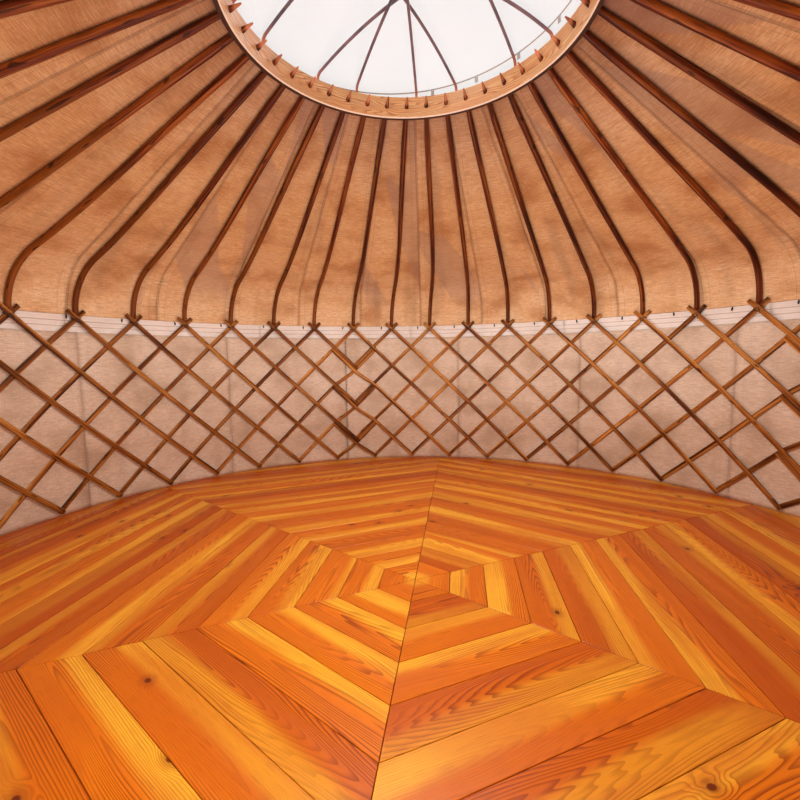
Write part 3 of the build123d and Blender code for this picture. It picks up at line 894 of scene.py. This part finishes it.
def liningLift(angle, r, h, along, seam, side):
    dip = valley(angle, r)
    size = np.clip(r / wallRadius, 0.3, 1)
    slack = 0.72 + 0.28 * roundNoise(angle, along, 9.0, 0.5, 21)
    moved = -dip * size * cloth["liningSag"] * slack
    # stitching draws the cloth into short level ridges near the eave
    drawn = np.maximum(0, smoothNoise(side * 1.7, side * 0 + 3, 8)) ** 0.7 + 0.22
    at = cloth["puckerAt"] * (1 + 0.35 * smoothNoise(side * 2.3, side * 0, 9))
    band = np.exp(-((along - at) / cloth["puckerSpread"]) ** 2)
    near = np.exp(-(seam / 0.12) ** 2)
    bend = 1.4 * smoothNoise(angle * 24, along * 5, 12) + seam * 9 * smoothNoise(side * 3.1, side * 0, 5)
    ridge = np.sin(2 * pi * along / cloth["puckerWave"] + bend)
    moved -= cloth["puckerHeight"] * drawn * band * near * (0.5 + 0.5 * ridge) ** 1.5 * np.clip(dip * 3, 0, 1)
    wide, tall = cloth["drawnSize"]
    for degree, up, strength in cloth["drawn"]:
        aside = np.angle(np.exp(1j * (angle - radians(degree)))) * r
        patch = np.exp(-(aside / wide) ** 2 - ((along - up - aside * 0.12) / tall) ** 2)
        wave = np.sin(2 * pi * (along - 3.5 * aside ** 2 + aside * 0.10 * sin(degree)) / cloth["drawnWave"])
        moved -= cloth["drawnHeight"] * strength * patch * (0.5 + 0.5 * wave) * np.clip(dip * 3, 0, 1)
    # faint cross ripples further up and a slight pull along each seam
    ripple = np.sin(2 * pi * along / 0.062 + 2.2 * smoothNoise(angle * 15, along * 3, 14))
    moved -= 0.0011 * dip * size * (1 + ripple) * (0.6 + 0.4 * roundNoise(angle, along, 14, 1.5, 15))
    moved -= 0.0012 * np.exp(-(seam / 0.014) ** 2) * np.clip(dip * 2, 0, 1)
    return moved


def wallLift(angle, r, h, along, seam, side):
    dip = valley(angle, r)
    fold = roundNoise(angle, along, 22.0, 0.25, 31) + 0.6 * roundNoise(angle, along, 51.0, 0.5, 32)
    pulled = np.exp(-(seam / 0.03) ** 2)
    return -0.0046 * dip + cloth["wallFold"] * fold * (0.35 + 0.65 * dip) - 0.0010 * pulled


def strapPull(h):
    # the two straps hold the wall cover in
    return 1 - sum(np.exp(-((h - height) / 0.10) ** 2) for height in cloth["strapHeights"])


def slackness(angle, h):
    # the cover is held flat along the rim of the floor and on the door posts
    return np.clip((h - 0.02) / 0.30, 0, 1) * np.clip((pi - np.abs(angle) - jambOuter) / 0.07, 0, 1)


def coverLift(angle, r, h, along, seam, side):
    loose = slackness(angle, h)
    moved = -cloth["coverSag"] * valley(angle, r) * loose
    billow = roundNoise(angle, along, 13.0, 0.8, 41) + 0.5 * roundNoise(angle, along, 30.0, 1.2, 42)
    free = np.clip((1.36 - h) / 0.1, 0, 1) * strapPull(h)
    moved += 0.0016 * (billow + 1.5 * (1 - loose)) * free
    # two creases and a rolled hem along the top
    for crease in cloth["creases"]:
        moved += 0.0022 * np.exp(-((h - crease - 0.0012 * roundNoise(angle, 0 * along, 18.0, 0, 44)) / 0.0034) ** 2)
    upper, lower = cloth["creases"]
    moved -= 0.0016 * np.clip((h - upper) / 0.006, 0, 1) + 0.0008 * np.clip((h - lower) / 0.006, 0, 1)
    moved -= 0.0012 * np.exp(-((h - 1.4715) / 0.006) ** 2)
    return moved


def roofCoverLift(angle, r, h, along, seam, side):
    size = np.clip(r / wallRadius, 0.3, 1)
    moved = -cloth["coverSag"] * size * valley(angle, r)
    loose = np.clip((1.455 - h) / 0.05, 0, 1)
    wave = roundNoise(angle, 0 * along, 26.0, 0, 51) + 0.6 * roundNoise(angle, 0 * along, 61.0, 0, 52)
    moved += loose * (0.0022 + 0.0016 * wave)
    moved += 0.0010 * np.exp(-(seam / 0.010) ** 2)
    return moved


def sheet(made, node):
    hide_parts(node)


turns = cloth["liningTurn"] + np.arange(-13, 14) * 2 * pi / cloth["liningPanels"]
profile = roofProfile(cloth["liningOffset"], cloth["liningBottom"], house["ringOuter"] + 0.002, (0.0085, 0.085))
sheet(panelSheet("roofLining", looks["roofLining"], turns, 20, profile,
                 cloth["liningThickness"], liningLift),
      "roof_liner")

start, end = -pi + jambOuter + 0.0001, pi - jambOuter - 0.0001
turns = np.concatenate([np.linspace(start, cloth["lacedSeam"], 7), np.linspace(cloth["lacedSeam"], end, 8)[1:]])
profile = np.column_stack([np.full(41, cloth["wallInner"]), np.linspace(0.0004, cloth["wallTop"], 41)])
sheet(panelSheet("wallLining", looks["wallLining"], turns, 29, profile, 0.0014, wallLift),
      "wall_liner")
print("linings hung")

heights = np.concatenate([np.linspace(-cloth["coverDrop"], 1.32, 44),
                          np.arange(1.335, cloth["coverTop"] - 0.002, 0.0036), [cloth["coverTop"]]])
profile = np.column_stack([np.full(len(heights), wallRadius + cloth["coverOffset"] - 0.0033), heights])
for number in range(5):
    share = 2 * (pi - coverEdge) / 5
    low = -pi + coverEdge + share * number
    turns = np.linspace(low + 0.0001, low + share - 0.0001, 3)
    sheet(panelSheet(f"wallCanvas{number + 1}", looks["wallCanvas"], turns, 44, profile,
                     cloth["coverThickness"], coverLift),
          f"wall_cover_{number + 1}")

profile = roofProfile(cloth["coverOffset"], cloth["skirtBottom"], house["ringOuter"] + 0.0003, (0.022, 0.075))
for number in range(6):
    turns = radians(30 + 60 * number) + np.linspace(0.0001, pi / 3 - 0.0001, 5)
    sheet(panelSheet(f"roofCanvas{number + 1}", looks["roofCanvas"], turns, 15, profile,
                     cloth["coverThickness"], roofCoverLift),
          f"roof_cover_{number + 1}")
print("covers on")


# straps round the wall

straps = {
    "width": 0.05,
    "flatWidth": 0.047,
    "lift": 0.0017,
}

def strapLine(name, height):
    angle = np.linspace(-pi + coverEdge, pi - coverEdge, 300)
    sunk = cloth["coverSag"] * valley(angle, wallRadius + 0 * angle) * slackness(angle, height)
    path = on(angle, wallRadius + cloth["coverOffset"] + straps["lift"] - sunk, height)
    low, high = straps["width"] / 2, straps["flatWidth"] / 2
    bag = Bag()
    sweep(bag, path, on(angle, 1.0, -floorTop), [(-low, -0.0010), (-high, 0.0012), (high, 0.0012), (low, -0.0010)])
    length = float(np.linalg.norm(np.diff(path, axis=0), axis=1).sum())
    grain = bag.layers["grain"][0]
    bag.layers["cloth"] = [np.column_stack([grain[:, 0], grain[:, 1], grain[:, 0] * 0])]
    piece = bag.build(name, looks["webbing"], smooth=False)
    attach(piece, "root")
    return piece, length


for name, node, height in zip(("lowerStrap", "upperStrap"), ("lower_band", "upper_band"), cloth["strapHeights"]):
    piece, length = strapLine(name, height)
    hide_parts(node)


# door cloth rolled up over the doorway

roll = {
    "outer": 0.0375,
    "inner": 0.0105,
    "step": 0.0032,
    "thickness": 0.0015,
    "reach": jambOuter + 0.045 / 2.77,
    "height": 1.400 - 0.0003 - 0.038,
    "radius": 2.7736 + 0.038,
}


def doorRoll():
    bag = Bag()
    count = (roll["outer"] - roll["inner"]) / roll["step"]
    turn = np.linspace(0, 2 * pi * count, int(26 * count))
    size = roll["outer"] - roll["step"] * turn / (2 * pi)
    angle = np.linspace(pi - roll["reach"], pi + roll["reach"], 40)
    strap = np.abs(np.abs(angle - pi) - roll["reach"] * 0.55) * 2.8
    layers = []
    for inset in (0.0, roll["thickness"]):
        pinch = 1 - 0.10 * np.exp(-(strap / 0.035) ** 2) + 0.012 * smoothNoise(angle * 40, angle * 0, 61)
        around = (size[:, None] - inset) * pinch[None, :]
        lump = 1 + 0.02 * smoothNoise(angle[None, :] * 18 + turn[:, None] * 0.3,
                                      turn[:, None] * 0.8 + 0 * angle[None, :], 62)
        around = np.minimum(around * lump, 0.0379)
        t = turn[:, None] + pi
        rolled = on(angle[None, :] + 0 * t, roll["radius"] + around * np.cos(t), roll["height"] + around * np.sin(t))
        # the cloth comes down from under the roof skirt before it rolls up
        fall = np.linspace(1.3994, roll["height"], 6)[:-1, None]
        layers.append(np.concatenate([on(angle[None, :] + 0 * fall, roll["radius"] - around[:1], fall), rolled]))
    n, m = layers[0].shape[:2]
    length = np.concatenate([[0], np.cumsum(np.linalg.norm(np.diff(layers[0][:, m // 2], axis=0), axis=1))])
    around, down = np.meshgrid((angle - pi) * roll["radius"], length)
    coords = np.stack([around, down, np.full((n, m), 2.1)], -1)
    bag.add(stacked(layers), shellFaces(n, m), cloth=stacked([coords] * 2), seam=np.full(2 * n * m, 0.5))
    piece = bag.build("doorRoll", looks["roofCanvas"])
    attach(piece, "root")
    return piece, (2 * roll["reach"] * roll["radius"], float(length[-1]))


piece, flat = doorRoll()
ties = Bag()
for way in (-1, 1):
    angle = pi + way * roll["reach"] * 0.55
    spin = np.linspace(0, 2 * pi, 49)[:-1]
    path = on(angle + 0 * spin, roll["radius"] + 0.0362 * np.cos(spin), roll["height"] + 0.0362 * np.sin(spin))
    out = on(angle + 0 * spin, np.cos(spin), np.sin(spin) - floorTop)
    sweep(ties, path, out, [(-0.011, -0.0006), (-0.011, 0.0012), (0.011, 0.0012), (0.011, -0.0006)], closed=True)
ties.layers["cloth"] = [np.concatenate(ties.layers["grain"])]
tieBands = ties.build("rollTies", looks["webbing"], smooth=False)
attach(tieBands, "root")
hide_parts("door_flap")
print("door cloth rolled")


# clear cap over the crown

cap = {
    "base": house["ringOuter"] + 0.035,
    "rise": 0.330,
    "lap": 0.115,
    "thickness": 0.0012,
    "tapeRadius": 0.845,
    "tapeShift": -0.035,
    "tapeWidth": 0.0065,
    "tapeThickness": 0.0016,
    "tabs": (12.7, 31.9, 51.0, 70.8, -26.0, -45.0, -64.0, -83.0, 90.0, 109.0, 128.0, 147.0, 166.0,
             -102.0, -121.0, -140.0, -159.0, -178.0),
}
capLow = house["ringTop"] - floorTop + 0.035 / 4
domeRadius = (cap["base"] ** 2 + cap["rise"] ** 2) / (2 * cap["rise"])
domeCentre = capLow + cap["rise"] - domeRadius


def domeHeight(radius):
    return domeCentre + np.sqrt(domeRadius ** 2 - radius ** 2)


def roofSurface(offset, radius):
    return bendEnd + (runTo(radius) - bendRun) / math.tan(bendTurn) + offset / sin(bendTurn)


def capLine(lift):
    # radius and height from the skirt's hem to the top of the dome
    edge = cap["base"] + cap["lap"]
    hem = roofSurface(cloth["coverOffset"] + 0.003, edge) + 0.0004
    points = [(edge + (cap["base"] - edge) * t, hem + (capLow - hem) * t) for t in np.linspace(0, 1, 12)]
    points += [(r, domeHeight(r)) for r in cap["base"] * np.cos(np.linspace(0, pi / 2, 30))[1:-1]]
    points = np.array(points)
    tangent = np.gradient(points, axis=0)
    tangent /= np.linalg.norm(tangent, axis=1)[:, None]
    return points + np.column_stack([tangent[:, 1], -tangent[:, 0]]) * lift


def clearCap():
    bag = Bag()
    angle = np.linspace(0, 2 * pi, 121)[:-1]
    layers = []
    for lift in (0.0004, 0.0004 + cap["thickness"]):
        line = capLine(lift)
        hem = np.exp(-((np.arange(len(line))) / 4.0) ** 2)[:, None]
        wave = 0.004 * np.abs(roundNoise(angle, 0 * angle, 9.0, 0, 71))[None, :] * hem
        layers.append(on(angle[None, :] + 0 * hem, line[:, :1] + wave * 0.5, line[:, 1:] + wave))
    n, m = layers[0].shape[:2]
    inner = gridFaces(n, m, closeColumns=True)
    outer = [tuple(n * m + i for i in face[::-1]) for face in inner]
    rim = [((j + 1) % m, j, n * m + j, n * m + (j + 1) % m) for j in range(m)]
    last = (n - 1) * m
    tops = [tuple(last + j for j in range(m)), tuple(n * m + last + j for j in range(m))[::-1]]
    bag.add(stacked(layers), inner + outer + rim + tops)
    piece = bag.build("clearCap", looks["clear"])
    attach(piece, "root")
    line = capLine(0)
    middle = (line[1:, 0] + line[:-1, 0]) / 2
    area = 2 * pi * float((middle * np.linalg.norm(np.diff(line, axis=0), axis=1)).sum())
    side = 2 * float(np.linalg.norm(np.diff(line, axis=0), axis=1).sum())
    return piece, (side, side), area


def tapeBand(bag):
    # a band under the dome round a circle that sits a little to one side
    angles = np.linspace(0, 2 * pi, 181)[:-1]
    x, y = cap["tapeShift"] + cap["tapeRadius"] * np.sin(angles), cap["tapeRadius"] * np.cos(angles)
    reach = np.hypot(x, y)
    path = np.stack([x, y, domeHeight(reach) + floorTop - 0.0022], 1)
    out = np.stack([x, y, domeHeight(reach) - domeCentre], 1)
    out /= np.linalg.norm(out, axis=1)[:, None]
    sweep(bag, path, out, bandShape(cap["tapeWidth"], cap["tapeThickness"]), closed=True)


piece, flat, area = clearCap()
hemBag = Bag()
tapeBand(hemBag)
hem = hemBag.build("capTape", looks["tape"], smooth=False)
tabBag = Bag()
for degree in cap["tabs"]:
    a = radians(degree)
    x, y = cap["tapeShift"] + cap["tapeRadius"] * sin(a), cap["tapeRadius"] * cos(a)
    at, reach = math.atan2(x, y), math.hypot(x, y)
    down = np.linspace(0, 1, 5)
    path = on(np.full(5, at), reach - 0.0035 + 0.004 * down, domeHeight(reach) - 0.003 - 0.034 * down)
    sweep(tabBag, path, on(np.full(5, at), 1.0, -floorTop), bandShape(0.020, cap["tapeThickness"]))
tabs = tabBag.build("capTabs", looks["tape"], smooth=False)
for extra in (hem, tabs):
    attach(extra, "root")
min(area, flat[0] * flat[1])
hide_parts("crown_cap")
print("cap on")


# small fastenings: pegs on the cover, cord round the crossings and a laced seam

small = {
    "pegAside": 0.30,
    "pegDrift": 0.0167,
    "pegHeight": 1.4630,
    "pegLength": 0.030,
    "pegRadius": 0.0056,
    "cordRadius": 0.0021,
    "wrapWidth": 0.0292,
    "wrapDepth": 0.0146,
    "knotRadius": 0.0046,
    "stitch": 0.026,
    "stitchGap": 0.012,
}


def pegs():
    bag = Bag()
    for place in range(-20, 21):
        if abs(place) < 2:
            continue
        fromBack = (place + house["poles"]) % house["poles"] - house["poles"] / 2
        angle = pi + (place - small["pegAside"] - small["pegDrift"] * fromBack) * pitch + 0.003 * float(rng.normal())
        tilt = 0.12 * float(rng.normal())
        radius = 2.7652 - cloth["coverSag"] * float(valley(np.array(angle), np.array(wallRadius)))
        t = np.linspace(-0.5, 0.5, 9)
        path = on(angle + t * tilt * small["pegLength"] / wallRadius, np.full(9, radius - 0.0044),
                  small["pegHeight"] + t * small["pegLength"])
        ends = np.sqrt(np.clip(1 - (2 * np.abs(t)) ** 6, 0.05, 1))
        girth = small["pegRadius"] * ends * (1 + 0.12 * np.cos(4 * pi * t))
        sweep(bag, path, on(np.full(9, angle), 1.0, -floorTop), circle(10), girth)
        loop = np.linspace(0, 2 * pi, 17)[:-1]
        path = on(angle + 0.0062 * np.cos(loop) / wallRadius, radius + 0.0008 + 0.0052 * np.sin(loop),
                  small["pegHeight"] + 0 * loop)
        sweep(bag, path, np.array([0.0, 0.0, 1.0]), circle(6), np.full(16, 0.0011), closed=True)
    return bag.build("coverPegs", looks["toggle"])


def crossingCords():
    # three turns of cord round each top crossing, and round the doubled ones at the joints
    bag = Bag()
    places = [(place * pitch + pi, 0) for place in range(-20, 21) if abs(place) > 1]
    for joint in sectionEnds[1:-1]:
        places += [((joint + row % 2 / 2) * pitch, row) for row in range(1, 7)]
    for angle, row in places:
        for turn in range(3):
            spin = np.linspace(0, 2 * pi, 29)[:-1]
            tilt = 0.10 * float(rng.normal())
            aside, deep = [size * np.sign(v) * np.abs(v) ** 0.55
                           for size, v in ((small["wrapWidth"], np.cos(spin)), (small["wrapDepth"], np.sin(spin)))]
            height = rowHeight(row) - 0.0052 + 0.0048 * turn + aside * tilt + 0.0006 * float(rng.normal())
            path = on(angle + aside / wallRadius, wallRadius + deep, height)
            sweep(bag, path, np.array([0.0, 0.0, 1.0]), circle(7), np.full(28, small["cordRadius"]), closed=True)
        if row == 0:
            # a knot and a loose end sit at the front of the crossing
            spin = np.linspace(0, 2 * pi, 17)[:-1]
            path = on(angle + 0.0105 * np.cos(spin) / wallRadius, wallRadius - 0.0165 + 0.0012 * np.sin(3 * spin),
                      rowHeight(0) - 0.014 + 0.0125 * np.sin(spin))
            sweep(bag, path, on(np.full(16, angle), 1.0, -floorTop), circle(7), np.full(16, 0.0032), closed=True)
            t = np.linspace(0, 1, 9)
            drop = 0.030 + 0.012 * float(rng.random())
            path = on(angle + (0.010 + 0.008 * t + 0.004 * np.sin(3 * t)) / wallRadius,
                      wallRadius - 0.0168 - 0.002 * np.sin(pi * t), rowHeight(0) - 0.004 - drop * t)
            sweep(bag, path, on(np.full(9, angle), 1.0, -floorTop), circle(6), small["cordRadius"] * (1 - 0.3 * t))
    return bag.build("crossingCords", looks["cord"])


def lathKnots():
    # a thong through each lower crossing, knotted on the inside
    bag = Bag()
    for row in range(1, house["rows"] + 1):
        column = -wallEnd + (row + 1) % 2 / 2
        while column <= wallEnd:
            angle = column * pitch
            if abs(abs(column) - wallEnd) > 0.01:
                swell = np.sin(np.linspace(0.15, pi - 0.25, 7))
                deep = wallRadius - 0.0118 - 0.0052 * (1 - np.cos(np.linspace(0.15, pi - 0.25, 7))) / 2
                path = on(np.full(7, angle), deep, np.full(7, rowHeight(row)))
                sweep(bag, path, np.array([0.0, 0.0, 1.0]), circle(8), small["knotRadius"] * (0.35 + 0.65 * swell))
            column += 1
    return bag.build("lathKnots", looks["cord"])


def lacing():
    bag = Bag()
    height = 0.03
    while height < cloth["wallTop"] - 0.03:
        t = np.linspace(0, 1, 7)
        lean = 0.0016 * float(rng.normal())
        angle = cloth["lacedSeam"] + (lean * (t - 0.5)) / wallRadius
        dip = float(valley(np.array(cloth["lacedSeam"]), np.array(wallRadius)))
        radius = cloth["wallInner"] - 0.0052 * dip - 0.0028
        path = on(angle, radius - 0.0010 * np.sin(pi * t), height + small["stitch"] * t)
        girth = small["cordRadius"] * np.clip(np.sin(pi * np.clip(t, 0.08, 0.92)) * 2, 0, 1)
        sweep(bag, path, on(angle, 1.0, -floorTop), circle(6), girth)
        height += small["stitch"] + small["stitchGap"]
    return bag.build("liningLace", looks["cord"])


for piece in (pegs(), crossingCords(), lathKnots(), lacing()):
    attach(piece, "root")
print("fastenings tied")


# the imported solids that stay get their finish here

def dress(node, look):
    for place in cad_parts[node].material_slots:
        place.material = look


for node, look in (("platform_frame", "sawn"), ("door_jamb_left", "jamb"), ("door_jamb_right", "jamb"),
                   ("door_lintel", "rail"), ("door_threshold", "rail"), ("crown_ring", "ring")):
    dress(node, looks[look])
for level in range(4):
    dress(f"crown_bows_{level + 1}", looks["bow"])


# camera, light and the plain floor

view = {
    "place": (-0.0172, -2.1009, 1.239),
    "azimuth": radians(-1.31),
    "pitch": radians(-5.44),
    "roll": radians(-0.79),
    "lens": 19.44,
}


def setCamera():
    a, p, r = view["azimuth"], view["pitch"], view["roll"]
    ahead = Vector((sin(a) * cos(p), cos(a) * cos(p), sin(p)))
    right = Vector((cos(a), -sin(a), 0))
    up = right.cross(ahead)
    right, up = cos(r) * right + sin(r) * up, cos(r) * up - sin(r) * right
    data = bpy.data.cameras.new("photoView")
    data.lens, data.sensor_width = view["lens"], 36
    data.clip_start = 0.02
    camera = bpy.data.objects.new("photoView", data)
    camera.matrix_world = Matrix.Translation(view["place"]) @ Matrix((right, up, -ahead)).transposed().to_4x4()
    bpy.context.scene.collection.objects.link(camera)
    bpy.context.scene.camera = camera


def areaLight(name, place, aim, size, watts, colour=(1, 1, 1), spread=180):
    data = bpy.data.lights.new(name, "AREA")
    data.shape, data.size, data.energy, data.color, data.spread = "DISK", size, watts, colour, radians(spread)
    lamp = bpy.data.objects.new(name, data)
    lamp.location = place
    lamp.rotation_euler = (Vector(aim) - Vector(place)).to_track_quat("-Z", "Y").to_euler()
    lamp.visible_camera = False
    bpy.context.scene.collection.objects.link(lamp)


def setSky(ambient):
    # bright white where it is seen, softer where it only lights
    world = bpy.data.worlds.new("daylight")
    bpy.context.scene.world = world
    world.use_nodes = True
    tree = world.node_tree
    paths = tree.nodes.new("ShaderNodeLightPath").outputs
    seen = paths["Is Camera Ray"]
    for ray in ("Is Glossy Ray", "Is Transmission Ray"):
        either = tree.nodes.new("ShaderNodeMath")
        either.operation = "MAXIMUM"
        tree.links.new(seen, either.inputs[0])
        tree.links.new(paths[ray], either.inputs[1])
        seen = either.outputs[0]
    strength = tree.nodes.new("ShaderNodeMix")
    tree.links.new(seen, strength.inputs["Factor"])
    strength.inputs[2].default_value = ambient
    strength.inputs[3].default_value = 1.0
    background = tree.nodes["Background"]
    background.inputs["Color"].default_value = (1, 1, 1, 1)
    tree.links.new(strength.outputs[0], background.inputs["Strength"])


setCamera()
setSky(0.5)
areaLight("crownLight", (0.0, 0.1, floorTop + 2.62), (0.0, 0.1, 0.0), 1.45, 48, (1.0, 0.99, 0.97))
areaLight("doorLight", (-0.5, -2.35, floorTop + 1.75), (-0.1, -0.3, floorTop), 0.8, 20, (1.0, 0.99, 0.97), 150)
areaLight("roofFill", (0.0, 0.2, floorTop + 0.5), (0.0, 0.4, 3.0), 3.0, 34, (0.98, 1.0, 0.99))
areaLight("sunSide", (-7.0, -8.0, 8.0), (0.0, 0.0, 1.4), 5.0, 620)
areaLight("skySide", (6.0, 7.0, 7.5), (0.0, 0.0, 1.4), 8.0, 400)

bag = Bag()
bag.add([(-30, -30, 0), (30, -30, 0), (30, 30, 0), (-30, 30, 0)], [(0, 1, 2, 3)])
floorLook = plainFinish("paleFloor", rgb(226, 226, 226), rgb(220, 220, 220), 0.8, 6.0)
floorPlane = bag.build("studioFloor", floorLook, smooth=False)
bpy.context.scene.view_settings.view_transform = "Standard"
